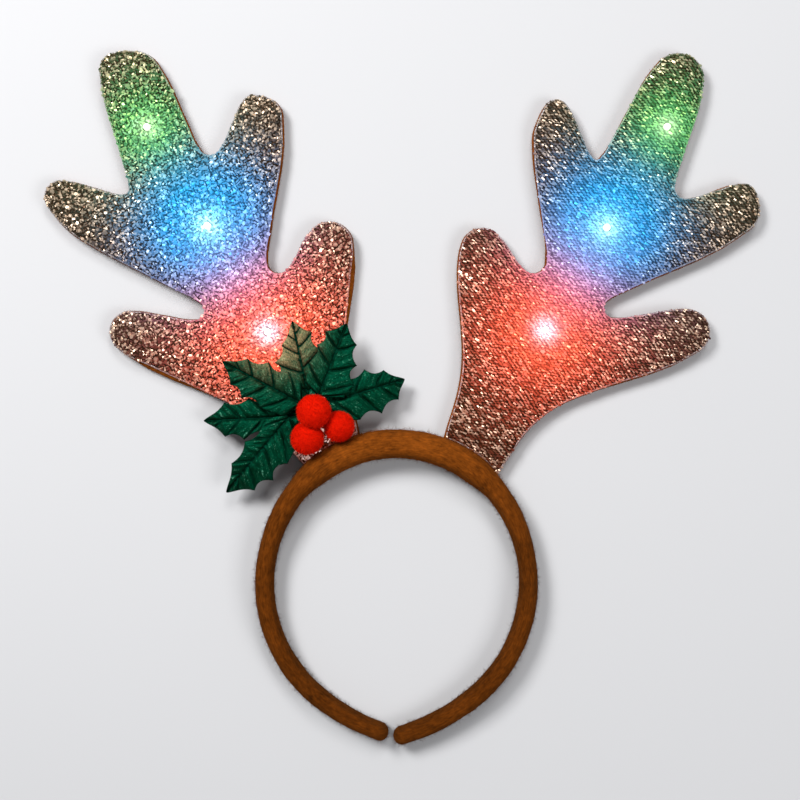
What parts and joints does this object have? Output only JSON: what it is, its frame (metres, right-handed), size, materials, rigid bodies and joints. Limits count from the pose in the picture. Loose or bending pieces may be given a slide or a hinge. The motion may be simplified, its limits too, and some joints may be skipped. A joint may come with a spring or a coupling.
{
  "type": "light-up reindeer antler headband",
  "caption": "Padded felt headband, open below, with two glittered reindeer antlers, small lamps in their fronts, spiny holly leaves and red pompoms.",
  "frame": {"origin": "middle of the object's outline, on the surface that it lies on", "axes": "+X across the two antlers, +Y from the hoop's open ends to the antlers' tips, +Z off the surface, on the side of the lamps, holly and pompoms"},
  "size_m": [0.302, 0.292, 0.0264],
  "materials": {
    "brown_felt": "brushed felt",
    "glitter_cloth": "knitted metallic glitter",
    "lamp_green": "lit lens",
    "lamp_blue": "lit lens",
    "lamp_red": "lit lens",
    "holly_satin": "pressed satin",
    "pompom_red": "short fuzz"
  },
  "bodies": {
    "root": {"headband": "brown_felt", "antler_right_back": "brown_felt", "antler_left_back": "brown_felt", "antler_right_cloth": "glitter_cloth", "antler_left_cloth": "glitter_cloth", "lamp_right_green": "lamp_green", "lamp_right_blue": "lamp_blue", "lamp_right_red": "lamp_red", "lamp_left_green": "lamp_green", "lamp_left_blue": "lamp_blue", "lamp_left_red": "lamp_red", "holly_leaf_1": "holly_satin", "holly_leaf_2": "holly_satin", "holly_leaf_3": "holly_satin", "holly_leaf_4": "holly_satin", "holly_leaf_5": "holly_satin", "holly_leaf_6": "holly_satin", "pompom_front": "pompom_red", "pompom_low": "pompom_red", "pompom_side": "pompom_red"}
  },
  "joints": []
}
